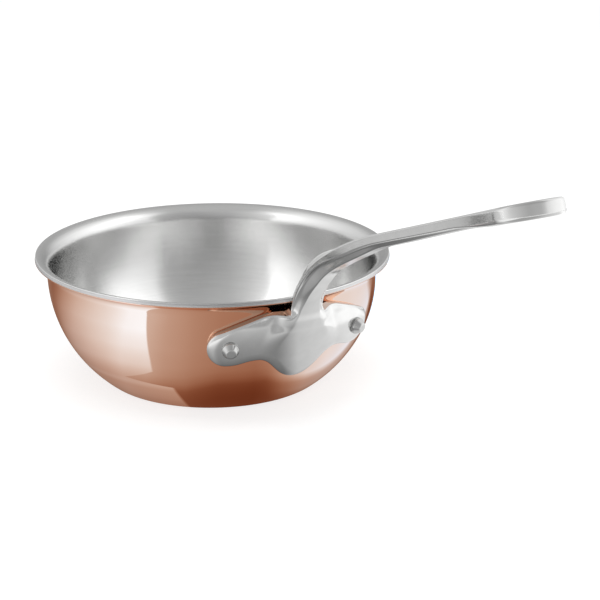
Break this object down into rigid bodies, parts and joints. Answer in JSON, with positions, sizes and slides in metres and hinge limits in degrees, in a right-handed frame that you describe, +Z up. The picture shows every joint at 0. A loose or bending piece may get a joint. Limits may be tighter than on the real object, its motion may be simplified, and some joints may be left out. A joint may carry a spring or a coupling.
{
  "type": "curved saute pan",
  "caption": "Round curved saute pan with a polished copper outside, a satin steel lining, a flared pouring rim and a long riveted cast handle with a hanging eye.",
  "frame": {"origin": "middle of the flat base's underside, on the bowl's axis", "axes": "+Z up along the bowl's axis, +X from the bowl out along the handle"},
  "size_m": [0.3975, 0.2, 0.17],
  "materials": {
    "copper": "polished",
    "aluminium": "satin",
    "satin_steel": "satin",
    "cast_steel": "polished casting",
    "rivet_steel": "polished"
  },
  "bodies": {
    "root": {"copper_shell": "copper", "aluminium_core": "aluminium", "steel_liner": "satin_steel", "handle": "cast_steel", "rivet_left": "rivet_steel", "rivet_right": "rivet_steel"}
  },
  "joints": []
}
